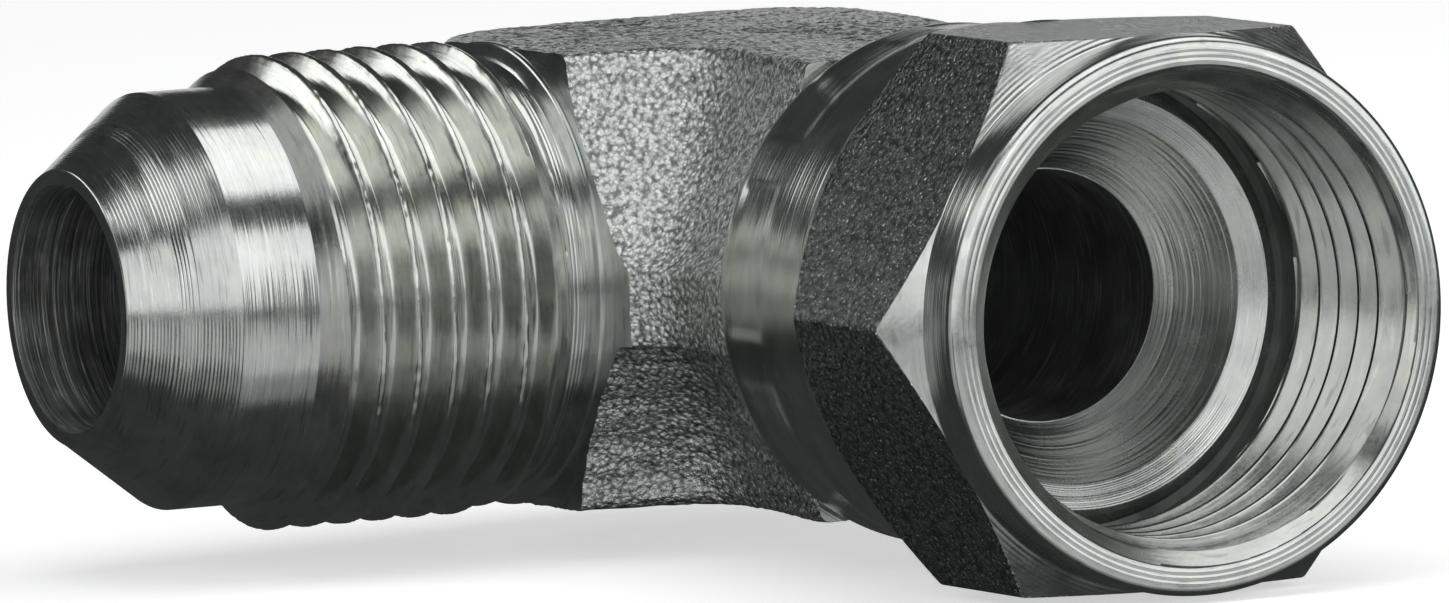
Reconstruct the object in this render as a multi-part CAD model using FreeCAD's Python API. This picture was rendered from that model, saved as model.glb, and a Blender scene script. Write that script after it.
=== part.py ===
import FreeCAD, Part
import math
import os

# Ninety degree swivel elbow adapter, 37 degree flare, size 8 (3/4-16 UNF threads). Units mm.
# Origin: the point where the two centrelines cross. The male arm runs toward -X, the swivel
# arm toward -Y, and +Z is up, square to both centrelines.

# Thread (3/4-16 UNF)
MAJOR_R = 9.525
PITCH = 1.5875
ROOT_R = 8.60
THREAD_MINOR_R = 8.78
CREST_FLAT = 0.25

# Male arm, distances from the origin along -X
TIP = 30.0
BORE_R = 4.96
DRILL_POINT = 118.0
DRILL_PAST = 4.0
RIM_R = 5.50
LAND_R = 8.375
SEAT_ANGLE = 37.0
LAND_END = 22.80
FIRST_CREST = 20.55
CREST_COUNT = 6
RELIEF_R = 8.60
RELIEF_START = 11.90
FACE_X = 10.70
SPOT_R = 9.35
STUB_R = 9.00

# Swivel tailpiece, distances from the origin along -Y
NECK_R = 7.40
NECK_END = 21.40
COLLAR_R = 9.00
COLLAR_START = 23.00
COLLAR_END = 29.40
SEAT_FACE = 29.95
SEAT_FACE_R = 8.20
SEAT_MOUTH = 29.44
SEAT_MOUTH_R = 7.24

# Nut, distances from the origin along -Y
MOUTH = 39.50
HEX_AF = 21.80
HEX_TURN = -0.85
FRONT_COLLAR_R = 10.90
FACE_INNER_R = 9.85
THREAD_FRONT = 37.95
THREAD_BACK = 31.30
NUT_CREST_COUNT = 4
NUT_MAJOR_R = 9.60
NUT_BORE_R = 9.06
GROOVE_BACK = 28.90
SKIRT_R = 10.60
SKIRT_KNEE = 23.20
SKIRT_BACK = 18.80
SKIRT_BACK_R = 10.20
LIP_R = 7.75
HEX_FRONT = 37.20
HEX_BACK = 26.90

# Forged block: plan outline at the top flat, then how far the sides spread below it
BAND_TOP = 1.20
BAND_BOTTOM = -2.30
PLAN = [(-10.7, -6.75), (-5.7, -7.45), (-4.7, -8.7), (-6.01, -18.4), (6.04, -18.4), (8.5, 0.5),
        (8.5, 5.2), (7.0, 7.7), (4.5, 8.1), (-7.2, 8.0), (-9.3, 6.6), (-10.7, 4.2)]
SPREAD = [(0.0, -4.75), (-4.3, -4.4), (-4.45, -4.4), (-4.0, 0.0), (4.15, 0.0), (3.3, 0.8),
          (3.3, 1.6), (2.8, 2.8), (1.6, 3.3), (-0.4, 3.3), (-0.9, 3.5), (0.0, 4.2)]
LEVELS = [(-9.20, 0.0), (-7.9, 0.07), (-6.4, 0.20), (-4.6, 0.43), (-2.6, 0.74),
          (BAND_BOTTOM, 1.0), (BAND_TOP, 1.0),
          (1.7, 0.84), (3.2, 0.64), (4.7, 0.42), (6.3, 0.20), (7.8, 0.07), (9.20, 0.0)]


def vec(x, y, z=0.0):
    return FreeCAD.Vector(x, y, z)


def turned(points, direction):
    """Solid turned about the X or Y axis from (distance, radius) points."""
    if direction == "x":
        outline = [vec(-s, r) for s, r in points]
        axis = vec(1, 0)
    else:
        outline = [vec(r, -s) for s, r in points]
        axis = vec(0, 1)
    face = Part.Face(Part.makePolygon(outline + outline[:1]))
    return face.revolve(vec(0, 0), axis, 360)


def block_wire(level):
    z, spread = level
    corners = [vec(x + spread * dx, y + spread * dy, z) for (x, y), (dx, dy) in zip(PLAN, SPREAD)]
    return Part.makePolygon(corners + corners[:1])


def forged_block():
    """L-shaped forging: flat top and bottom, sides spreading down to a parting band."""
    return Part.makeLoft([block_wire(level) for level in LEVELS], True, True)


def outer_ring_points(crest):
    """One thread crest with its two 30 degree flanks, on a male thread."""
    half_root = PITCH / 2
    half_crest = CREST_FLAT / 2
    return [(crest - half_root + 0.12, ROOT_R), (crest - half_crest, MAJOR_R),
            (crest + half_crest, MAJOR_R), (crest + half_root - 0.12, ROOT_R)]


def male_end_points():
    """Profile of the male end, from inside the block out to the nose tip."""
    points = [(0.0, 0.0), (0.0, STUB_R), (FACE_X, STUB_R), (FACE_X, SPOT_R)]
    points += [(FACE_X + 0.12, SPOT_R), (FACE_X + 0.4, RELIEF_R), (RELIEF_START, RELIEF_R)]
    for index in reversed(range(CREST_COUNT)):
        points += outer_ring_points(FIRST_CREST - index * PITCH)
    cone_end = TIP - (LAND_R - RIM_R) / math.tan(math.radians(SEAT_ANGLE))
    points += [(LAND_END, LAND_R), (cone_end, LAND_R), (TIP, RIM_R), (TIP, 0.0)]
    return points


def tailpiece_points():
    """Profile of the swivel tailpiece, with the concave 37 degree seat in its end."""
    seat_depth = (SEAT_MOUTH_R - BORE_R) / math.tan(math.radians(SEAT_ANGLE))
    seat_root = SEAT_MOUTH - seat_depth
    return [(0.0, 0.0), (0.0, NECK_R), (NECK_END, NECK_R), (COLLAR_START, COLLAR_R),
            (COLLAR_END, COLLAR_R), (SEAT_FACE, SEAT_FACE_R), (SEAT_MOUTH, SEAT_MOUTH_R),
            (seat_root, BORE_R), (seat_root, 0.0)]


def drilled_hole(past_centre, direction):
    """A drilled flow bore: straight wall past the centre, then the cone left by the drill."""
    axis = vec(*direction)
    start = axis * -past_centre
    point_depth = BORE_R / math.tan(math.radians(DRILL_POINT / 2))
    straight = Part.makeCylinder(BORE_R, TIP + 1 + past_centre, start, axis)
    point = Part.makeCone(0, BORE_R, point_depth, start - axis * point_depth, axis)
    return straight.fuse(point)


def flow_bores():
    """The two flow bores, drilled from the two ends and crossing at the centre."""
    return drilled_hole(DRILL_PAST, (-1, 0)).fuse(drilled_hole(DRILL_PAST, (0, -1)))


def elbow_body():
    solid = forged_block().fuse([turned(male_end_points(), "x"), turned(tailpiece_points(), "y")])
    return solid.cut(flow_bores()).removeSplitter()


def hexagon():
    """Hexagonal bar with both ends chamfered by cones."""
    radius = HEX_AF / math.sqrt(3)
    angles = [math.radians(HEX_TURN + 60 * k) for k in range(6)]
    corners = [vec(radius * math.cos(a), -HEX_BACK, radius * math.sin(a)) for a in angles]
    prism = Part.Face(Part.makePolygon(corners + corners[:1])).extrude(vec(0, HEX_BACK - HEX_FRONT))
    reach = radius + 0.2
    front_slope = math.tan(math.radians(36.0))
    back_slope = math.tan(math.radians(55.0))
    front = HEX_FRONT - (reach - FRONT_COLLAR_R) * front_slope
    back = HEX_BACK + (reach - FRONT_COLLAR_R) * back_slope
    limits = turned([(HEX_BACK, 0.0), (HEX_BACK, FRONT_COLLAR_R), (back, reach), (front, reach),
                     (HEX_FRONT, FRONT_COLLAR_R), (HEX_FRONT, 0.0)], "y")
    return prism.common(limits)


def nut_outside():
    collar = turned([(30.0, 0.0), (30.0, FRONT_COLLAR_R), (MOUTH - 0.25, FRONT_COLLAR_R),
                     (MOUTH, FRONT_COLLAR_R - 0.2), (MOUTH, 0.0)], "y")
    skirt = turned([(SKIRT_BACK, 0.0), (SKIRT_BACK, SKIRT_BACK_R - 0.45),
                    (SKIRT_BACK + 0.35, SKIRT_BACK_R), (SKIRT_KNEE, SKIRT_R),
                    (HEX_BACK - 0.6, SKIRT_R), (HEX_BACK, FRONT_COLLAR_R), (30.0, FRONT_COLLAR_R),
                    (30.0, 0.0)], "y")
    return hexagon().fuse([collar, skirt])


def nut_hollow_points():
    """Everything inside the nut: countersink, threads, relief, running bore and pressed lip."""
    points = [(SKIRT_BACK - 1.0, 0.0), (SKIRT_BACK - 1.0, LIP_R), (SKIRT_BACK + 2.4, LIP_R)]
    points += [(SKIRT_KNEE - 0.35, NUT_BORE_R), (GROOVE_BACK, NUT_BORE_R)]
    points += [(GROOVE_BACK, NUT_MAJOR_R), (THREAD_BACK - 0.45, NUT_MAJOR_R)]
    step = (THREAD_FRONT - THREAD_BACK - CREST_FLAT) / NUT_CREST_COUNT
    for index in range(NUT_CREST_COUNT + 1):
        crest = THREAD_BACK + CREST_FLAT / 2 + index * step
        half = CREST_FLAT / 2
        points += [(crest - half, THREAD_MINOR_R), (crest + half, THREAD_MINOR_R)]
        if index < NUT_CREST_COUNT:
            points += [(crest + step / 2 - 0.16, NUT_MAJOR_R), (crest + step / 2 + 0.16, NUT_MAJOR_R)]
    points += [(MOUTH, FACE_INNER_R), (MOUTH + 1.0, FACE_INNER_R), (MOUTH + 1.0, 0.0)]
    return points


def swivel_nut():
    return nut_outside().cut(turned(nut_hollow_points(), "y")).removeSplitter()


NODES = {"elbow_body": elbow_body, "swivel_nut": swivel_nut}

os.makedirs("parts", exist_ok=True)
for name, make in NODES.items():
    shape = make()
    if shape.ShapeType == "Compound" and len(shape.Solids) == 1:
        shape = shape.Solids[0]
    print(name, shape.ShapeType, shape.isValid(), round(shape.Volume), shape.BoundBox)
    shape.exportStep(os.path.join("parts", name + ".step"))
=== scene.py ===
import math

import bpy
import numpy as np
from mathutils import Matrix, Vector


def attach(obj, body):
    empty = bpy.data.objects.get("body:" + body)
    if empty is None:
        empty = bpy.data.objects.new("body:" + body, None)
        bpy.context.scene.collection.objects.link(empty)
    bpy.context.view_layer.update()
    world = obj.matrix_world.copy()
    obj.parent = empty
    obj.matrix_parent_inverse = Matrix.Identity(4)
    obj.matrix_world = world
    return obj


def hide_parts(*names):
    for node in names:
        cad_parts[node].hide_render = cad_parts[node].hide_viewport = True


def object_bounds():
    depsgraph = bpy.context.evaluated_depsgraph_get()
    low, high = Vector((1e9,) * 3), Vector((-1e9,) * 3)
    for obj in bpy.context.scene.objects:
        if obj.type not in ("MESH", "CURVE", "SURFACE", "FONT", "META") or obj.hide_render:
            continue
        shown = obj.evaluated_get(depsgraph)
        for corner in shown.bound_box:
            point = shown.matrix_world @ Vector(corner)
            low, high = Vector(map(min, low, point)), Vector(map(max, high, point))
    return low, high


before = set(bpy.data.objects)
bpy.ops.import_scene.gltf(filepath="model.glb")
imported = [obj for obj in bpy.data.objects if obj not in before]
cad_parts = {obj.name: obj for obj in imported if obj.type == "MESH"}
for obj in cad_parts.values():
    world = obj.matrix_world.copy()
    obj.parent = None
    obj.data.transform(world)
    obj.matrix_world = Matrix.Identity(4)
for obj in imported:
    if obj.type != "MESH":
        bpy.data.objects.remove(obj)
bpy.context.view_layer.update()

# Swivel elbow adapter with 37 degree flare ends, size 8. Working numbers are in mm; meshes are
# scaled to metres. The male arm runs toward -X, the swivel arm toward -Y, and +Z is up.
MM = 0.001
TAU = 2 * math.pi

PITCH = 1.5875          # 3/4-16 UNF thread, both ends
MAJOR_R = 9.525         # crests of the male thread
ROOT_R = 8.56
BORE_R = 4.96
TIP = 30.0              # nose of the male arm from the crossing of the centrelines
FACE_X = 10.70          # machined face of the block behind the male thread
FACE_Y = 18.42          # end of the block beside the nut's skirt
SLOPE_37 = math.tan(math.radians(37.0))
DRILL_HALF_POINT = 59.0
DRILL_PAST = 4.0

FORGED, TURNED_X, TURNED_Y, BORE, THREAD = range(5)


# ---------------------------------------------------------------- noise

def hashed(ix, iy, iz, seed):
    """A repeatable number from 0 to 1 for each whole-number lattice corner."""
    h = (ix * 374761393 + iy * 668265263 + iz * 1103515245 + seed * 1274126177) & 0xFFFFFFFF
    h = ((h ^ (h >> 13)) * 1274126177) & 0xFFFFFFFF
    h = ((h ^ (h >> 15)) * 668265263) & 0xFFFFFFFF
    return ((h ^ (h >> 16)) & 0xFFFFFF) / float(0xFFFFFF)


def soft_noise(points, size, seed):
    """Smooth noise from -1 to 1 with features of the given size in mm (one number or three)."""
    q = points / np.asarray(size, float)
    base = np.floor(q).astype(np.int64)
    f = q - base
    w = f * f * (3 - 2 * f)
    total = np.zeros(len(q))
    for corner in range(8):
        dx, dy, dz = corner & 1, corner >> 1 & 1, corner >> 2 & 1
        share = (w[:, 0] if dx else 1 - w[:, 0]) * (w[:, 1] if dy else 1 - w[:, 1])
        share = share * (w[:, 2] if dz else 1 - w[:, 2])
        total += share * hashed(base[:, 0] + dx, base[:, 1] + dy, base[:, 2] + dz, seed)
    return total * 2 - 1


def cells(points, size, seed):
    """Distance to the nearest scattered grain centre, in grain sizes."""
    q = points / np.asarray(size, float)
    base = np.floor(q).astype(np.int64)
    best = np.full(len(q), 9.0)
    for step in range(27):
        c = base + np.array([step % 3 - 1, step // 3 % 3 - 1, step // 9 - 1])
        jitter = np.stack([hashed(c[:, 0], c[:, 1], c[:, 2], seed + k) for k in range(3)], axis=1)
        best = np.minimum(best, ((c + jitter - q) ** 2).sum(axis=1))
    return np.sqrt(best)


def smooth_step(low, high, x):
    t = np.clip((x - low) / (high - low), 0.0, 1.0)
    return t * t * (3 - 2 * t)


# ---------------------------------------------------------------- materials

class Shade:
    """A node material under construction: adds nodes, links sockets, keeps numbers on sockets."""

    def __init__(self, name):
        self.material = bpy.data.materials.new(name)
        self.material.use_nodes = True
        self.tree = self.material.node_tree
        self.shader = self.tree.nodes["Principled BSDF"]
        place = self.node("ShaderNodeTexCoord").outputs["Object"]
        self.mm = self.vector("SCALE", place, scale=1000.0)

    def node(self, kind, inputs=(), **settings):
        made = self.tree.nodes.new(kind)
        for key, value in settings.items():
            setattr(made, key, value)
        for key, value in inputs:
            if isinstance(value, bpy.types.NodeSocket):
                self.tree.links.new(value, made.inputs[key])
            else:
                made.inputs[key].default_value = value
        return made

    def vector(self, operation, a, b=None, scale=None):
        inputs = [(0, a)]
        if b is not None:
            inputs.append((1, b))
        if scale is not None:
            inputs.append(("Scale", scale))
        made = self.node("ShaderNodeVectorMath", inputs, operation=operation)
        return made.outputs["Value" if operation == "LENGTH" else "Vector"]

    def math(self, operation, a, b=0.0, c=0.0):
        made = self.node("ShaderNodeMath", [(0, a), (1, b), (2, c)], operation=operation)
        return made.outputs[0]

    def noise(self, vector, scale, detail=2.0, rough=0.5, distortion=0.0):
        made = self.node("ShaderNodeTexNoise", [("Vector", vector), ("Scale", scale),
                                                ("Detail", detail), ("Roughness", rough),
                                                ("Distortion", distortion)])
        return made.outputs["Fac"]

    def grains(self, vector, scale, feature="F1"):
        made = self.node("ShaderNodeTexVoronoi", [("Vector", vector), ("Scale", scale)],
                         feature=feature)
        return made.outputs["Distance"]

    def span(self, value, low, high, to_low, to_high):
        made = self.node("ShaderNodeMapRange", [("Value", value), ("From Min", low),
                                                ("From Max", high), ("To Min", to_low),
                                                ("To Max", to_high)])
        return made.outputs["Result"]

    def blend(self, factor, a, b):
        made = self.node("ShaderNodeMix", [("Factor", factor)], data_type="RGBA")
        for index, value in ((6, a), (7, b)):
            if isinstance(value, bpy.types.NodeSocket):
                self.tree.links.new(value, made.inputs[index])
            else:
                made.inputs[index].default_value = (*value, 1.0)
        return made.outputs[2]

    def bump(self, height, distance, normal=None):
        inputs = [("Height", height), ("Distance", distance * MM), ("Strength", 1.0)]
        if normal is not None:
            inputs.append(("Normal", normal))
        return self.node("ShaderNodeBump", inputs).outputs["Normal"]

    def finish(self, colour, roughness, normal):
        self.tree.links.new(colour, self.shader.inputs["Base Color"])
        self.tree.links.new(roughness, self.shader.inputs["Roughness"])
        self.tree.links.new(normal, self.shader.inputs["Normal"])
        self.shader.inputs["Metallic"].default_value = 1.0
        return self.material


def turned_zinc(name, axis, along, radial, pitch, depth, colour, rough, scratch_highlight=0.3):
    """Zinc plate over a lathe-turned surface: fine uneven marks round the axis, faint stains, and thin
    turning lines painted bright as highlights.
    """
    shade = Shade(name)
    parts = shade.node("ShaderNodeSeparateXYZ", [(0, shade.mm)]).outputs
    mask = (0, 1, 1) if axis == "X" else (1, 0, 1)
    across = shade.vector("MULTIPLY", shade.mm, mask)
    radius = shade.vector("LENGTH", across)
    line = shade.math("MULTIPLY_ADD", parts[axis], along, shade.math("MULTIPLY", radius, radial))
    line = shade.math("DIVIDE", line, pitch)
    turn = shade.vector("SCALE", across, scale=0.10)
    pull = shade.node("ShaderNodeCombineXYZ", [(axis, line)]).outputs[0]
    strokes = shade.vector("ADD", turn, pull)
    marks = shade.noise(strokes, 1.0, 2.0, 0.6)
    scores = shade.noise(strokes, 0.21, 1.0)
    stain = shade.noise(shade.mm, 0.55, 3.0, 0.6)
    speck = shade.noise(shade.mm, 7.0, 2.0, 0.7)
    tone = shade.span(shade.math("MULTIPLY_ADD", stain, 0.7, shade.math("MULTIPLY", marks, 0.3)),
                      0.35, 0.68, 0.0, 1.0)
    dark = tuple(c * 0.74 for c in colour)
    base = shade.blend(tone, dark, colour)
    warm = shade.noise(shade.mm, 0.9, 2.0)
    tint = (colour[0] * 0.98, colour[1] * 0.955, colour[2] * 0.86)
    base = shade.blend(shade.span(warm, 0.5, 0.75, 0.0, 0.55), base, tint)
    # Painted highlights: thin lines following the turning marks get a near-white base colour, as if they
    # caught the light; where the same noise is low, thin lines are darkened instead.
    short = shade.vector("ADD", shade.vector("SCALE", across, scale=0.28), pull)
    scratch_and_highlight_lines = shade.noise(short, 1.7, 2.0, 0.55)
    base = shade.blend(shade.span(scratch_and_highlight_lines, 0.60, 0.70, 0.0, scratch_highlight), base, (0.95, 0.97, 0.96))
    base = shade.blend(shade.span(scratch_and_highlight_lines, 0.40, 0.30, 0.0, 0.6), base, tuple(c * 0.45 for c in colour))
    gloss = shade.span(shade.math("ADD", shade.math("MULTIPLY", stain, 0.6),
                                  shade.math("MULTIPLY", speck, 0.4)), 0.3, 0.7, rough * 0.75, rough * 1.3)
    normal = shade.bump(marks, depth)
    normal = shade.bump(scores, depth * 1.6, normal)
    normal = shade.bump(speck, 0.0015, normal)
    return shade.finish(base, gloss, normal)


def forged_zinc(name, colour, grain, depth, rough, glint):
    """Zinc plate over a blasted or forged surface: glossy grains, painted shade in the pits and hollows
    between them, painted bright glints.
    """
    shade = Shade(name)
    coarse = shade.grains(shade.mm, 1 / grain)
    fine = shade.noise(shade.mm, 1.7 / grain, 3.0, 0.65)
    pits = shade.noise(shade.mm, 0.9 / grain, 2.0, 0.6)
    hollow = shade.math("MULTIPLY_ADD", coarse, 0.5, shade.math("MULTIPLY", pits, 0.7))
    # Painted shade: where the grain hollow is deep, the base colour drops to 0.28 of the plate's.
    tone = shade.span(hollow, 0.50, 0.78, 1.0, 0.0)
    base = shade.blend(tone, tuple(c * 0.28 for c in colour), colour)
    # Painted highlights: scattered spots get a near-white base colour as glints, as strong as the glint
    # argument.
    bright = shade.noise(shade.mm, 2.1 / grain, 2.0, 0.5)
    base = shade.blend(shade.span(bright, 0.63, 0.69, 0.0, glint), base, (0.96, 0.98, 0.97))
    gloss = shade.span(fine, 0.3, 0.7, rough * 0.7, rough * 1.35)
    normal = shade.bump(coarse, -depth)
    normal = shade.bump(fine, depth * 1.2, normal)
    return shade.finish(base, gloss, normal)


ZINC = (0.66, 0.685, 0.67)
ELBOW_LOOKS = [
    forged_zinc("forged_zinc", (0.80, 0.825, 0.81), 0.23, 0.08, 0.20, 0.8),
    turned_zinc("turned_zinc_male", "X", 1.0, -0.35, 0.16, 0.015, ZINC, 0.18),
    turned_zinc("turned_zinc_swivel", "Y", 1.0, -0.55, 0.14, 0.014, ZINC, 0.24),
    # The drilled bore gets the strongest painted highlight on its turning lines.
    turned_zinc("drilled_bore", "X", 0.55, 0.9, 0.13, 0.06, (0.50, 0.52, 0.51), 0.44, 1.0),
    turned_zinc("thread_flank", "X", 0.4, 1.0, 0.42, 0.014, (0.68, 0.70, 0.66), 0.20, 0.3),
]
NUT_LOOKS = [
    # The hexagon flats are the same zinc plating as the forging with a base colour under half as bright:
    # painted shade for the dark reflections they catch, with painted glints.
    forged_zinc("nut_flat_zinc_painted_shade", (0.30, 0.315, 0.31), 0.26, 0.085, 0.20, 0.95),
    turned_zinc("nut_turned_zinc", "Y", 1.0, -0.6, 0.14, 0.016, ZINC, 0.20),
    turned_zinc("nut_thread_zinc", "Y", 0.5, 1.0, 0.3, 0.012, (0.56, 0.58, 0.56), 0.22, 0.15),
    turned_zinc("nut_inside_zinc", "Y", 1.0, 0.2, 0.2, 0.012, (0.5, 0.52, 0.51), 0.34),
]


# ---------------------------------------------------------------- mesh building

def mesh_object(name, points, quads, face_materials, looks):
    """A closed mesh object from points in mm, with shared points merged and collapsed faces dropped."""
    keys = np.round(points * 1e4).astype(np.int64)
    _, first, which = np.unique(keys, axis=0, return_index=True, return_inverse=True)
    points = points[first]
    corners = which.reshape(-1)[quads]
    p = points[corners]
    volume = (np.cross(p[:, 0], p[:, 1]) * p[:, 2]).sum() + (np.cross(p[:, 0], p[:, 2]) * p[:, 3]).sum()
    if volume < 0:
        corners = corners[:, ::-1]
    faces, materials = [], []
    for corner, material in zip(corners.tolist(), face_materials.tolist()):
        a, b, c, d = corner
        if a != b and b != c and c != d and d != a and a != c and b != d:
            faces.append(corner)
            materials.append(material)
            continue
        loop = [v for k, v in enumerate(corner) if v != corner[k - 1]]
        if len(loop) == 3 and len(set(loop)) == 3:
            faces.append(loop)
            materials.append(material)
    mesh = bpy.data.meshes.new(name)
    mesh.from_pydata((points * MM).tolist(), [], faces)
    mesh.polygons.foreach_set("material_index", materials)
    for material in looks:
        mesh.materials.append(material)
    obj = bpy.data.objects.new(name, mesh)
    bpy.context.scene.collection.objects.link(obj)
    return obj


def round_mesh(name, grid, row_materials, looks, seam=None, closed=False):
    """Mesh from grid[column, row]. Columns go once round. seam gives the row of the first
    column that each row of the last column meets, and closed joins the last row to the first."""
    count, rows = grid.shape[:2]
    index = np.arange(count * rows).reshape(count, rows)
    following = np.roll(index, -1, axis=0)
    if seam is not None:
        following[-1] = seam
    last = rows if closed else rows - 1
    a, d = index, following
    b, c = np.roll(index, -1, axis=1), np.roll(following, -1, axis=1)
    quads = np.stack([a, b, c, d], axis=-1)[:, :last].reshape(-1, 4)
    materials = np.tile(np.asarray(row_materials)[:last], count)
    return mesh_object(name, grid.reshape(-1, 3), quads, materials, looks)


def profile_rows(corners, step):
    """Resamples (distance, radius, material) corners so no stretch is longer than step."""
    rows = []
    for (s0, r0, m0), (s1, r1, _) in zip(corners[:-1], corners[1:]):
        count = max(1, math.ceil(math.hypot(s1 - s0, r1 - r0) / step))
        for k in range(count):
            f = k / count
            rows.append((s0 + (s1 - s0) * f, r0 + (r1 - r0) * f, m0))
    rows.append(corners[-1])
    return rows


def around_x(s, r, t):
    """Points at distance s along -X and radius r; angle t turns from +Z toward +Y."""
    return np.stack([-s, r * np.sin(t), r * np.cos(t)], axis=-1)


def around_y(s, r, t):
    """Points at distance s along -Y and radius r; angle t turns from +X toward +Z."""
    return np.stack([r * np.cos(t), -s, r * np.sin(t)], axis=-1)


def thread_shape(phase, root, crest, crest_flat, root_flat):
    """Radius of a 60 degree thread at a phase in pitches from a crest centre, edges eased."""
    d = np.abs((phase + 0.5) % 1.0 - 0.5) * PITCH
    low = (PITCH - root_flat) / 2
    high = crest_flat / 2
    return crest + (root - crest) * smooth_line((d - high) / (low - high))


def smooth_line(x):
    """A straight ramp from 0 to 1 with slightly rounded ends."""
    e = 0.09
    x = np.asarray(x, float)
    y = np.clip(x, 0.0, 1.0)
    y = np.where((x > -e) & (x < e), (x + e) ** 2 / (4 * e), y)
    return np.where((x > 1 - e) & (x < 1 + e), 1 - (1 + e - x) ** 2 / (4 * e), y)


# ---------------------------------------------------------------- male end

def grooves(s, pitch, depth, seed):
    """Turning marks: a fine, slightly uneven ripple along the distance s."""
    s = np.asarray(s, float)
    flat = np.stack([s, s * 0, s * 0], axis=-1).reshape(-1, 3)
    wander = soft_noise(flat, pitch * 3.1, seed).reshape(s.shape)
    ripple = np.abs(np.sin(math.pi * (s / pitch + 0.35 * wander)))
    return -depth * (1 - ripple) * (0.65 + 0.35 * wander)


MALE_COLUMNS = 320
THREAD_IN = 11.95
THREAD_OUT = 22.62
FIRST_CREST = 20.94
LAND_R = 8.375
LAND_START = 22.82
CHAMFER_SLOPE = 1.114
NOSE_R = 5.5
CONE_START = TIP - (LAND_R - NOSE_R) / SLOPE_37


def male_envelope(s):
    """Outside radius that the thread is cut into, along the male arm."""
    points = [(11.06, 8.66), (11.5, 8.78), (12.0, 8.95), (12.12, 9.22), (12.5, 9.30), (12.9, 9.45),
              (13.2, MAJOR_R), (LAND_START - (MAJOR_R - LAND_R) / CHAMFER_SLOPE, MAJOR_R),
              (LAND_START, LAND_R)]
    return np.interp(s, [p[0] for p in points], [p[1] for p in points])


THREAD_STEPS = np.array([-0.095, -0.075, -0.055, -0.03, 0.0, 0.03, 0.055, 0.075, 0.095, 0.16,
                         0.235, 0.31, 0.375, 0.395, 0.415, 0.44, 0.50, 0.56, 0.585, 0.605, 0.625,
                         0.69, 0.765, 0.84])


def helix_rows(start, end, crest):
    """Rows at angle 0, closer together at the thread's corners, with a pitch to spare each end."""
    base = crest - math.ceil((crest - start) / PITCH + 1.2) * PITCH
    turns = math.ceil((end - base) / PITCH + 1.2)
    return base + (np.arange(turns)[:, None] + THREAD_STEPS[None, :]).reshape(-1) * PITCH


def male_end():
    """Solid of revolution of the male arm, with a right-hand helical thread and turned marks."""
    back_of_ring = [(0.0, 0.0), (0.0, 4.0), (0.0, 8.2), (5.0, 8.2), (10.5, 8.2), (10.5, 9.0),
                    (10.6, 9.34), (10.70, 9.36), (10.79, 9.35), (10.83, 9.30), (10.86, 9.20),
                    (10.92, 9.00), (10.97, 8.84), (11.02, 8.72)]
    head = back_of_ring + [(s, float(male_envelope(s) + grooves(s, 0.21, 0.09, 3)))
                           for s in np.arange(11.06, THREAD_IN - 0.01, 0.04)]
    tail = [(s, float(male_envelope(s))) for s in (22.68, 22.75)]
    tail += [(s, float(LAND_R + grooves(s, 0.16, 0.007, 7)))
             for s in np.arange(LAND_START, CONE_START, 0.045)]
    tail += [(s, float(LAND_R - (s - CONE_START) * SLOPE_37 + grooves(s, 0.118, 0.026, 9)))
             for s in np.arange(CONE_START, TIP - 0.22, 0.0295)]
    tail += [(TIP - 0.2 + 0.2 * math.sin(a), 5.44 + 0.2 * math.cos(a))
             for a in np.radians([37, 50, 63, 77, 90])]
    tail += [(TIP, 4.0), (TIP, 2.0), (TIP, 0.0)]
    head, tail = np.array(head), np.array(tail)
    t = (np.arange(MALE_COLUMNS) * TAU / MALE_COLUMNS)[:, None]
    start = helix_rows(THREAD_IN, THREAD_OUT, FIRST_CREST)
    s = np.clip(start[None, :] + PITCH * t / TAU, THREAD_IN, THREAD_OUT)
    phase = (s - PITCH * t / TAU - FIRST_CREST) / PITCH
    r = thread_shape(phase, ROOT_R, MAJOR_R, 0.20, 0.30)
    r = np.minimum(r + 0.33 * smooth_step(12.9, 12.0, s), male_envelope(s))
    points = around_x(s, r, t + 0 * s).reshape(-1, 3)
    wear = soft_noise(points, 0.16, 21).reshape(r.shape)
    r = r + smooth_step(9.3, 9.5, r) * np.minimum(0.032 * wear, 0.008)
    inside = (s > THREAD_IN + 1e-6) & (s < THREAD_OUT - 1e-6)
    r = np.where(inside, r, male_envelope(s))
    ones = np.ones((MALE_COLUMNS, 1))
    s_all = np.hstack([ones * head[:, 0], s, ones * tail[:, 0]])
    r_all = np.hstack([ones * head[:, 1], r, ones * tail[:, 1]])
    seam = np.arange(s_all.shape[1])
    block = np.arange(len(head), len(head) + len(start))
    seam[block] = np.minimum(block + len(THREAD_STEPS), block[-1])
    materials = [TURNED_X] * len(head) + [THREAD] * len(start) + [TURNED_X] * len(tail)
    return round_mesh("male_end", around_x(s_all, r_all, t + 0 * s_all), materials,
                      ELBOW_LOOKS, seam)


# ---------------------------------------------------------------- forged block

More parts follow.
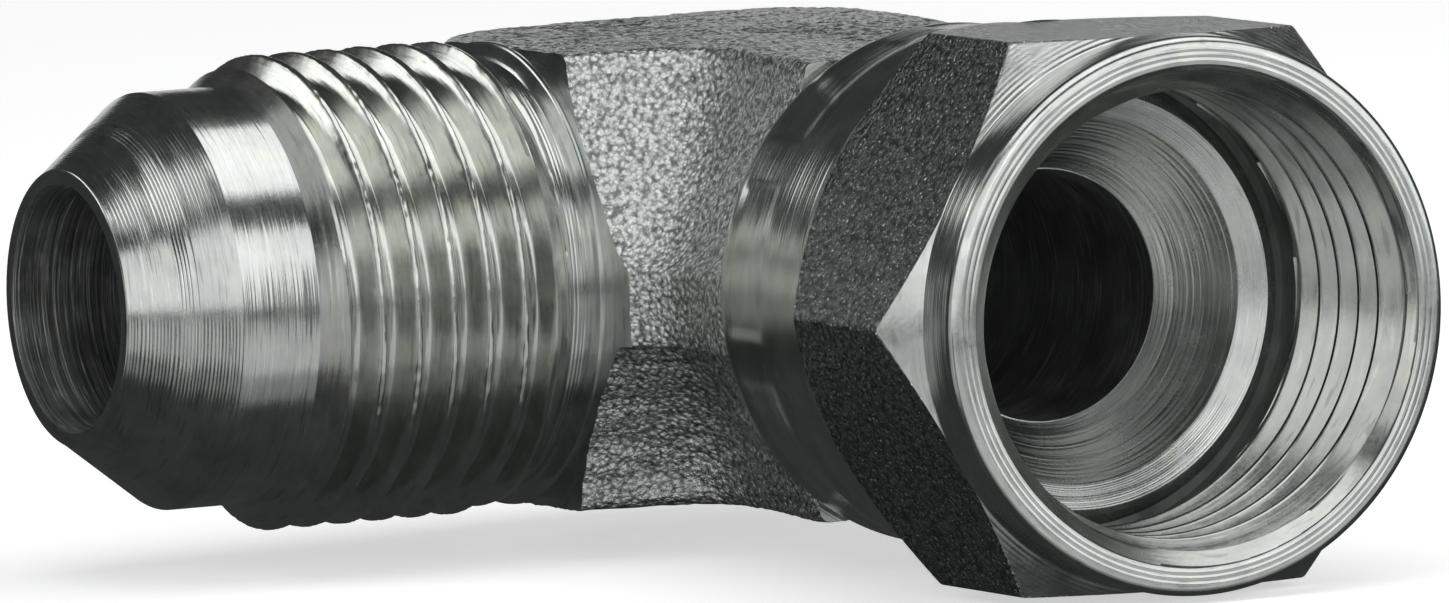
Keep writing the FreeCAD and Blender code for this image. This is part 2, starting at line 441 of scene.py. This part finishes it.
PLAN = [(-12.5, -6.50), (-5.7, -7.45), (-4.7, -8.7), (-6.09, -19.0), (5.97, -19.0), (8.5, 0.5),
        (8.5, 5.2), (7.0, 7.7), (4.5, 8.1), (-7.2, 8.0), (-9.3, 6.6), (-12.5, 1.1)]
SPREAD = [(1.0, -4.85), (-4.3, -4.4), (-4.45, -4.4), (-4.0, 0.0), (4.2, 0.0), (3.3, 0.8),
          (3.3, 1.6), (2.8, 2.8), (1.6, 3.3), (-0.4, 3.3), (-0.9, 3.5), (1.0, 4.6)]
ROUNDING = [0.3, 1.0, 1.0, 0.3, 0.3, 0.6, 0.6, 0.6, 0.6, 0.6, 0.6, 0.3]
LEVELS = [(-9.20, 0.0), (-7.9, 0.07), (-6.4, 0.20), (-4.6, 0.43), (-2.6, 0.74), (-2.35, 0.80),
          (-2.25, 0.985), (-2.0, 1.0), (0.7, 1.0), (0.85, 0.985), (1.25, 0.885), (1.7, 0.795), (3.2, 0.61),
          (4.7, 0.41), (6.3, 0.20), (7.8, 0.07), (9.20, 0.0)]
BLOCK_HALF = 9.2
CAP_CENTRE = np.array([-1.0, -2.0])
CAP_RINGS = 56
LEVEL_COUNT = 146
GRID = 0.15


def eased_loop(values, weights, rounds):
    """Evens out a closed run of values; weights from 0 to 1 say how much each one moves."""
    for _ in range(rounds):
        middle = (np.roll(values, 1, axis=0) + np.roll(values, -1, axis=0)) / 2
        values = values + weights[:, None] * 0.5 * (middle - values)
    return values


def block_outline():
    """Plan outline and spread of the block, evenly dense, with eased corners."""
    plan, spread, weight = [], [], []
    count = len(PLAN)
    for k in range(count):
        p0, p1 = np.array(PLAN[k]), np.array(PLAN[(k + 1) % count])
        d0, d1 = np.array(SPREAD[k]), np.array(SPREAD[(k + 1) % count])
        steps = max(2, int(round(np.linalg.norm(p1 + d1 - p0 - d0) / GRID)))
        for n in range(steps):
            f = n / steps
            plan.append(p0 + (p1 - p0) * f)
            spread.append(d0 + (d1 - d0) * f)
            weight.append(ROUNDING[k] * (1 - f) + ROUNDING[(k + 1) % count] * f)
    weight = np.array(weight)
    return eased_loop(np.array(plan), weight, 120), eased_loop(np.array(spread), weight, 120)


def forged_block():
    """The forged corner block: outlines stacked from level to level, capped top and bottom."""
    plan, spread = block_outline()
    heights = np.linspace(-BLOCK_HALF, BLOCK_HALF, LEVEL_COUNT)
    amount = np.interp(heights, [z for z, _ in LEVELS], [a for _, a in LEVELS])
    rings = []
    caps = np.linspace(0.0, 1.0, CAP_RINGS)[:-1]
    for f in caps:
        ring = CAP_CENTRE + (plan - CAP_CENTRE) * f
        rings.append(np.column_stack([ring, np.full(len(ring), -BLOCK_HALF)]))
    for z, a in zip(heights, amount):
        rings.append(np.column_stack([plan + a * spread, np.full(len(plan), z)]))
    for f in caps[::-1]:
        ring = CAP_CENTRE + (plan - CAP_CENTRE) * f
        rings.append(np.column_stack([ring, np.full(len(ring), BLOCK_HALF)]))
    grid = np.stack(rings, axis=1)
    for _ in range(10):
        middle = (grid[:, 2:] + grid[:, :-2]) / 2
        near_edge = smooth_step(8.6, 8.9, np.abs(grid[:, 1:-1, 2]))[:, :, None]
        grid[:, 1:-1] += 0.5 * near_edge * (middle - grid[:, 1:-1])
    du = np.roll(grid, -1, axis=0) - np.roll(grid, 1, axis=0)
    dv = np.gradient(grid, axis=1)
    normal = np.cross(du, dv)
    normal /= np.maximum(np.linalg.norm(normal, axis=2, keepdims=True), 1e-9)
    grid = grid + normal * forging_relief(grid.reshape(-1, 3)).reshape(grid.shape[:2])[:, :, None]
    return round_mesh("forged_block", grid, [FORGED] * grid.shape[1], ELBOW_LOOKS)


def forging_relief(p):
    """Height in mm of the die-scale texture over the forged surface."""
    z = p[:, 2]
    lower = smooth_step(-2.2, -2.6, z) * smooth_step(-9.1, -8.7, z)
    upper = smooth_step(1.2, 1.8, z) * smooth_step(9.15, 8.8, z)
    flat = smooth_step(8.95, 9.15, np.abs(z))
    male_side = smooth_step(-3.5, -7.0, p[:, 0]) * smooth_step(-13.5, -11.0, p[:, 1])
    grain = 0.5 - cells(p, 0.34, 11)
    fine = soft_noise(p, 0.22, 12)
    broad = soft_noise(p, 2.4, 13)
    warp = p + 0.35 * np.stack([soft_noise(p, 1.6, 14 + k) for k in range(3)], axis=1)
    flow = soft_noise(warp, (1.3, 1.3, 0.36), 17)
    rough = 0.035 * fine + 0.03 * broad
    return (rough + upper * (0.06 + 0.05 * male_side) * grain + lower * 0.10 * flow
            + lower * 0.02 * fine + (1 - upper - lower) * 0.07 * grain * (1 - 0.7 * flat))


# ---------------------------------------------------------------- swivel tailpiece

TAIL_COLUMNS = 256
COLLAR_R = 9.00
NECK_R = 7.40
SEAT_FACE = 29.95
SEAT_MOUTH = 29.44
SEAT_MOUTH_R = 7.24


def tailpiece():
    """The turned end under the nut: neck, collar, outer face and the concave 37 degree seat."""
    seat_root = SEAT_MOUTH - (SEAT_MOUTH_R - BORE_R - 0.05) / SLOPE_37
    rows = [(0.0, 0.0, TURNED_Y), (0.0, NECK_R, TURNED_Y), (21.4, NECK_R, TURNED_Y),
            (23.0, COLLAR_R, TURNED_Y), (29.1, COLLAR_R, TURNED_Y), (29.38, 8.94, TURNED_Y),
            (29.92, 8.32, TURNED_Y)]
    points = [(s, r) for s, r, _ in profile_rows(rows, 1.0)]
    face = np.linspace(8.26, 7.28, 34)
    points += [(SEAT_FACE - (8.2 - r) * 0.53 + float(grooves(r, 0.085, 0.018, 31)), r) for r in face]
    cone = np.arange(29.42, seat_root, -0.05)
    points += [(s, SEAT_MOUTH_R - (SEAT_MOUTH - s) * SLOPE_37 - float(grooves(s, 0.2, 0.010, 33)))
               for s in cone]
    points += [(seat_root, 3.0), (seat_root, 0.0)]
    t = np.arange(TAIL_COLUMNS) * TAU / TAIL_COLUMNS
    line = np.array(points)
    ones = np.ones((TAIL_COLUMNS, 1))
    grid = around_y(ones * line[:, 0], ones * line[:, 1], t[:, None] + 0 * ones * line[:, 0])
    return round_mesh("tailpiece", grid, [TURNED_Y] * len(points), ELBOW_LOOKS)


# ---------------------------------------------------------------- flow bores

def bore_tool(name, past_centre, length, turn):
    """A drill-shaped tool: straight wall, 118 degree point past the crossing."""
    point = BORE_R / math.tan(math.radians(DRILL_HALF_POINT))
    rows = [(-past_centre - point, 0.0, BORE), (-past_centre, BORE_R, BORE),
            (length, BORE_R + 0.04, BORE), (length, 0.0, BORE)]
    line = np.array([(s, r) for s, r, _ in profile_rows(rows, 1.2)])
    t = np.arange(256) * TAU / 256
    ones = np.ones((256, 1))
    grid = turn(ones * line[:, 0], ones * line[:, 1], t[:, None] + 0 * ones * line[:, 0])
    return round_mesh(name, grid, [BORE] * len(line), ELBOW_LOOKS)


def slab(name, low, high, material):
    """A plain box that cuts the block back to a machined face."""
    low, high = np.array(low, float), np.array(high, float)
    ends = [(x, y, z) for x in (0, 1) for y in (0, 1) for z in (0, 1)]
    points = low + (high - low) * np.array(ends)
    quads = np.array([(0, 1, 3, 2), (4, 6, 7, 5), (0, 4, 5, 1), (2, 3, 7, 6), (0, 2, 6, 4), (1, 5, 7, 3)])
    return mesh_object(name, points, quads, np.full(6, material), ELBOW_LOOKS)


def combine(base, steps):
    """Joins or cuts base with each (operation, object) and removes the tools."""
    for operation, tool in steps:
        change = base.modifiers.new("combine", "BOOLEAN")
        change.operation = operation
        change.solver = "MANIFOLD"
        change.object = tool
    graph = bpy.context.evaluated_depsgraph_get()
    mesh = bpy.data.meshes.new_from_object(base.evaluated_get(graph))
    base.modifiers.clear()
    base.data = mesh
    for _, tool in steps:
        bpy.data.objects.remove(tool)
    return base


def elbow():
    """The one-piece elbow: forged block, machined faces, both arms and both bores."""
    steps = [("DIFFERENCE", slab("face_cut_x", (-20, -30, -15), (-FACE_X, 20, 15), TURNED_X)),
             ("DIFFERENCE", slab("face_cut_y", (-20, -30, -15), (20, -FACE_Y, 15), TURNED_Y)),
             ("UNION", male_end()), ("UNION", tailpiece()),
             ("DIFFERENCE", bore_tool("drill_x", DRILL_PAST, TIP + 2, around_x)),
             ("DIFFERENCE", bore_tool("drill_y", DRILL_PAST, TIP + 2, around_y))]
    body = combine(forged_block(), steps)
    body.name = "elbow_forging"
    body.data.name = "elbow_forging"
    return body


# ---------------------------------------------------------------- swivel nut

HEX_AF = 21.75
CORNER_EASE = 0.16
HEX_TURN = math.radians(-0.85)
NUT_COLUMNS = 480
SKIRT_BACK = 18.76
SKIRT_END = 26.90
SKIRT_END_R = 10.92
HEX_CORNER_R = 12.5
COLLAR_START = 37.20
NUT_COLLAR_R = 10.95
MOUTH = 39.50
MOUTH_EDGE = 39.38
MOUTH_CHAMFER = 38.38
NUT_CREST_R = 8.78
NUT_ROOT_R = 9.60
NUT_THREAD_END = 31.30
NUT_CREST = 36.40
NUT_BORE_R = 9.06
CRIMP_R = 7.75
PRESS_DEPTH = 0.08
PRESS_PITCH = 45.0
PRESS_TURN = 124.75
FLAT, TURNED, NUT_THREAD, INSIDE = range(4)


def nut_angles():
    """Angles of the nut's columns: even, with more of them across each eased hexagon corner."""
    even = np.arange(NUT_COLUMNS) * TAU / NUT_COLUMNS
    corners = HEX_TURN + np.arange(6)[:, None] * TAU / 6
    extra = (corners + np.radians([-1.2, -0.9, -0.65, -0.42, -0.2, 0.0, 0.2, 0.42, 0.65, 0.9, 1.2])) % TAU
    gap = np.abs((even[:, None] - corners.reshape(-1)[None, :] + math.pi) % TAU - math.pi)
    return np.sort(np.concatenate([even[gap.min(axis=1) > math.radians(1.35)], extra.reshape(-1)]))


def hexagon_radius(t):
    """Distance from the axis to the hexagon's side at angle t, with rounded corners."""
    a = (t - HEX_TURN) % (math.pi / 3)
    near = HEX_AF / 2 / np.cos(a - math.pi / 6)
    other = HEX_AF / 2 / np.cos(math.pi / 6 + np.minimum(a, math.pi / 3 - a))
    share = np.clip(0.5 - (other - near) / (2 * CORNER_EASE), 0.0, 1.0)
    return near - CORNER_EASE * share * share


def skirt_radius(s, t):
    """Outside radius of the crimped skirt, with the eight die imprints."""
    line = [(SKIRT_BACK, 10.02), (18.79, 10.20), (18.88, 10.32), (19.1, 10.39), (21.5, 10.48),
            (23.2, 10.62), (26.2, 10.67), (SKIRT_END, SKIRT_END_R)]
    r = np.interp(s, [p[0] for p in line], [p[1] for p in line])
    a = (np.degrees(t) - PRESS_TURN + PRESS_PITCH / 2) % PRESS_PITCH - PRESS_PITCH / 2
    across = smooth_step(18.2, 15.2, np.abs(a))
    along = smooth_step(19.2, 20.0, s) * smooth_step(22.9, 22.1, s)
    press = across * along
    marks = grooves(s, 0.22, 0.02, 41) * smooth_step(19.2, 19.5, s)
    return r + marks * (1 - press) - PRESS_DEPTH * press


def swivel_nut():
    """The nut as one closed shell, from the skirt forward over the hexagon and back inside."""
    t = nut_angles()
    n = len(t)
    flat = hexagon_radius(t)
    back_slope = (29.3 - 26.95) / (HEX_CORNER_R - SKIRT_END_R)
    front_slope = (COLLAR_START - 36.1) / (HEX_CORNER_R - NUT_COLLAR_R)
    back_edge = 26.95 + (flat - SKIRT_END_R) * back_slope
    front_edge = COLLAR_START - (flat - NUT_COLLAR_R) * front_slope
    s_rows, r_rows, materials = [], [], []

    def add(s, r, material):
        s_rows.append(np.broadcast_to(s, (n,)).astype(float))
        r_rows.append(np.broadcast_to(r, (n,)).astype(float))
        materials.append(material)

    for s in [SKIRT_BACK, 18.79, 18.83, 18.88, 18.98, *np.arange(19.08, SKIRT_END, 0.075)]:
        add(s, skirt_radius(s, t), TURNED)
    for k in range(24):
        f = k / 24
        r = SKIRT_END_R + (flat - SKIRT_END_R) * f
        add(26.95 + (back_edge - 26.95) * f, r + grooves(r, 0.16, 0.012, 43), TURNED)
    for k in range(61):
        f = k / 60
        add(back_edge + (front_edge - back_edge) * f, flat, FLAT)
    for k in range(1, 25):
        f = k / 24
        r = flat + (NUT_COLLAR_R - flat) * f
        add(front_edge + (COLLAR_START - front_edge) * f, r + grooves(r, 0.16, 0.014, 45), TURNED)
    for s in np.arange(37.24, 39.06, 0.05):
        add(s, NUT_COLLAR_R + grooves(s, 0.15, 0.012, 47), TURNED)
    for k in range(10):
        a = math.radians(10 * k)
        add(39.1 + 0.4 * math.sin(a), 10.47 + 0.48 * math.cos(a), TURNED)
    for r in np.linspace(10.44, 9.93, 30):
        add(MOUTH + grooves(r, 0.21, 0.05, 49), r, TURNED)
    for k in range(5):
        a = math.radians(22.5 * k)
        add(39.43 + 0.06 * math.cos(a), 9.87 - 0.05 * math.sin(a), TURNED)
    first = len(s_rows)
    lo, hi = NUT_THREAD_END, MOUTH_EDGE
    start = -helix_rows(-hi, -lo, -NUT_CREST)
    for row in start:
        s = np.clip(row + PITCH * t / TAU, lo, hi)
        phase = (s - PITCH * t / TAU - NUT_CREST) / PITCH
        r = NUT_ROOT_R - thread_shape(phase, 0.0, NUT_ROOT_R - NUT_CREST_R, 0.18, 0.26)
        chamfer = NUT_CREST_R + 0.02 + np.maximum(s - MOUTH_CHAMFER, 0.0) * 1.01
        r = np.maximum(r, chamfer)
        inside = (s > lo + 1e-6) & (s < hi - 1e-6)
        add(s, np.where(inside, r, chamfer), NUT_THREAD)
    count = len(start)
    for s, r in [(31.22, 8.86), (31.18, 9.0), (30.9, 9.62), (29.2, 9.62), (28.9, 9.5),
                 (28.85, NUT_BORE_R), (26.0, NUT_BORE_R), (23.4, NUT_BORE_R), (23.0, NUT_BORE_R),
                 (21.4, CRIMP_R), (19.4, CRIMP_R), (19.0, 8.1), (18.82, 8.6), (18.78, 9.2)]:
        add(s, r, INSIDE)
    s_all = np.stack(s_rows, axis=1)
    r_all = np.stack(r_rows, axis=1)
    grid = around_y(s_all, r_all, t[:, None] + 0 * s_all)
    seam = np.arange(s_all.shape[1])
    block = np.arange(first, first + count)
    seam[block] = np.maximum(block - len(THREAD_STEPS), first)
    return round_mesh("crimped_swivel_nut", grid, materials, NUT_LOOKS, seam, closed=True)


# ---------------------------------------------------------------- build

elbow_piece = elbow()
nut_piece = swivel_nut()
SHARP = math.radians(38)
for piece, body, node, slot in ((elbow_piece, "elbow", "elbow_body", "forged_body"),
                                (nut_piece, "nut", "swivel_nut", "nut")):
    piece.data.polygons.foreach_set("use_smooth", [True] * len(piece.data.polygons))
    piece.data.set_sharp_from_angle(angle=SHARP)
    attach(piece, body)
    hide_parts(node)

# ---------------------------------------------------------------- studio

scene = bpy.context.scene
scene.view_settings.view_transform = "Standard"
low_corner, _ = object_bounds()
FLOOR_SIZE = 4.0
FLOOR_GAP = 0.0003
PANEL_DISTANCE = 0.60
bpy.ops.mesh.primitive_plane_add(size=FLOOR_SIZE, location=(0, 0, low_corner[2] - FLOOR_GAP))
floor = bpy.context.object
floor.name = "floor"
floor.visible_glossy = False
floor.visible_shadow = False
floor_material = bpy.data.materials.new("pale_floor")
floor_material.use_nodes = True
floor_shader = floor_material.node_tree.nodes["Principled BSDF"]
floor_shader.inputs["Base Color"].default_value = (0.86, 0.86, 0.86, 1)
floor_shader.inputs["Roughness"].default_value = 0.9
floor_shader.inputs["Specular IOR Level"].default_value = 0.0
floor_shader.inputs["Emission Color"].default_value = (1, 1, 1, 1)
floor_shader.inputs["Emission Strength"].default_value = 0.55
floor.data.materials.append(floor_material)

world = bpy.data.worlds.new("studio")
world.use_nodes = True
world.node_tree.nodes["Background"].inputs["Color"].default_value = (0.93, 0.97, 1.0, 1)
world.node_tree.nodes["Background"].inputs["Strength"].default_value = 0.045
scene.world = world


def soft_box(name, direction, distance, width, height, radiance):
    """A rectangular soft light facing the object from a direction (azimuth, elevation)."""
    light = bpy.data.lights.new(name, "AREA")
    light.shape = "RECTANGLE"
    light.size = width
    light.size_y = height
    light.energy = radiance * math.pi * width * height
    obj = bpy.data.objects.new(name, light)
    azimuth, elevation = (math.radians(v) for v in direction)
    away = Vector((math.sin(azimuth) * math.cos(elevation), -math.cos(azimuth) * math.cos(elevation),
                   math.sin(elevation)))
    obj.location = away * distance
    obj.rotation_euler = away.to_track_quat("Z", "Y").to_euler()
    obj.visible_camera = False
    scene.collection.objects.link(obj)
    return obj


soft_box("front_upper_right", (35, 17), PANEL_DISTANCE, 0.90, 0.43, 1.30)
soft_box("front_upper_left", (-34, 17), PANEL_DISTANCE, 0.78, 0.43, 1.00)
soft_box("front_lower", (0, -24), PANEL_DISTANCE, 1.4, 0.33, 0.58)
soft_box("front_floor", (0, -47), PANEL_DISTANCE, 1.2, 0.20, 0.24)
soft_box("overhead_panel", (20, 78), PANEL_DISTANCE, 0.9, 0.5, 1.5)
soft_box("left_panel", (-84, -6), PANEL_DISTANCE, 0.50, 0.40, 0.42)
soft_box("left_high_panel", (-98, 40), PANEL_DISTANCE, 0.46, 0.24, 0.50)
soft_box("rear_left_strip", (-131, 27), PANEL_DISTANCE, 0.38, 0.10, 2.0)
soft_box("rear_right_horizon", (150, 3), PANEL_DISTANCE, 0.50, 0.20, 0.7)

camera_data = bpy.data.cameras.new("camera")
camera_data.sensor_width = 36.0
camera_data.lens = 557.915776
camera_data.shift_x = -0.000345
camera_data.shift_y = 0.007035
camera_data.clip_start = 0.01
camera_data.clip_end = 20
camera = bpy.data.objects.new("camera", camera_data)
right = Vector((0.88741138, -0.4595061, -0.03681273))
up = Vector((0.07499114, 0.0651074, 0.99505646))
back = Vector((-0.45483773, -0.88578506, 0.09223593))
turn = Matrix((right, up, back)).transposed().to_4x4()
camera.matrix_world = Matrix.Translation(Vector((-0.4141755, -0.8056976, 0.0815416))) @ turn
scene.collection.objects.link(camera)
scene.camera = camera
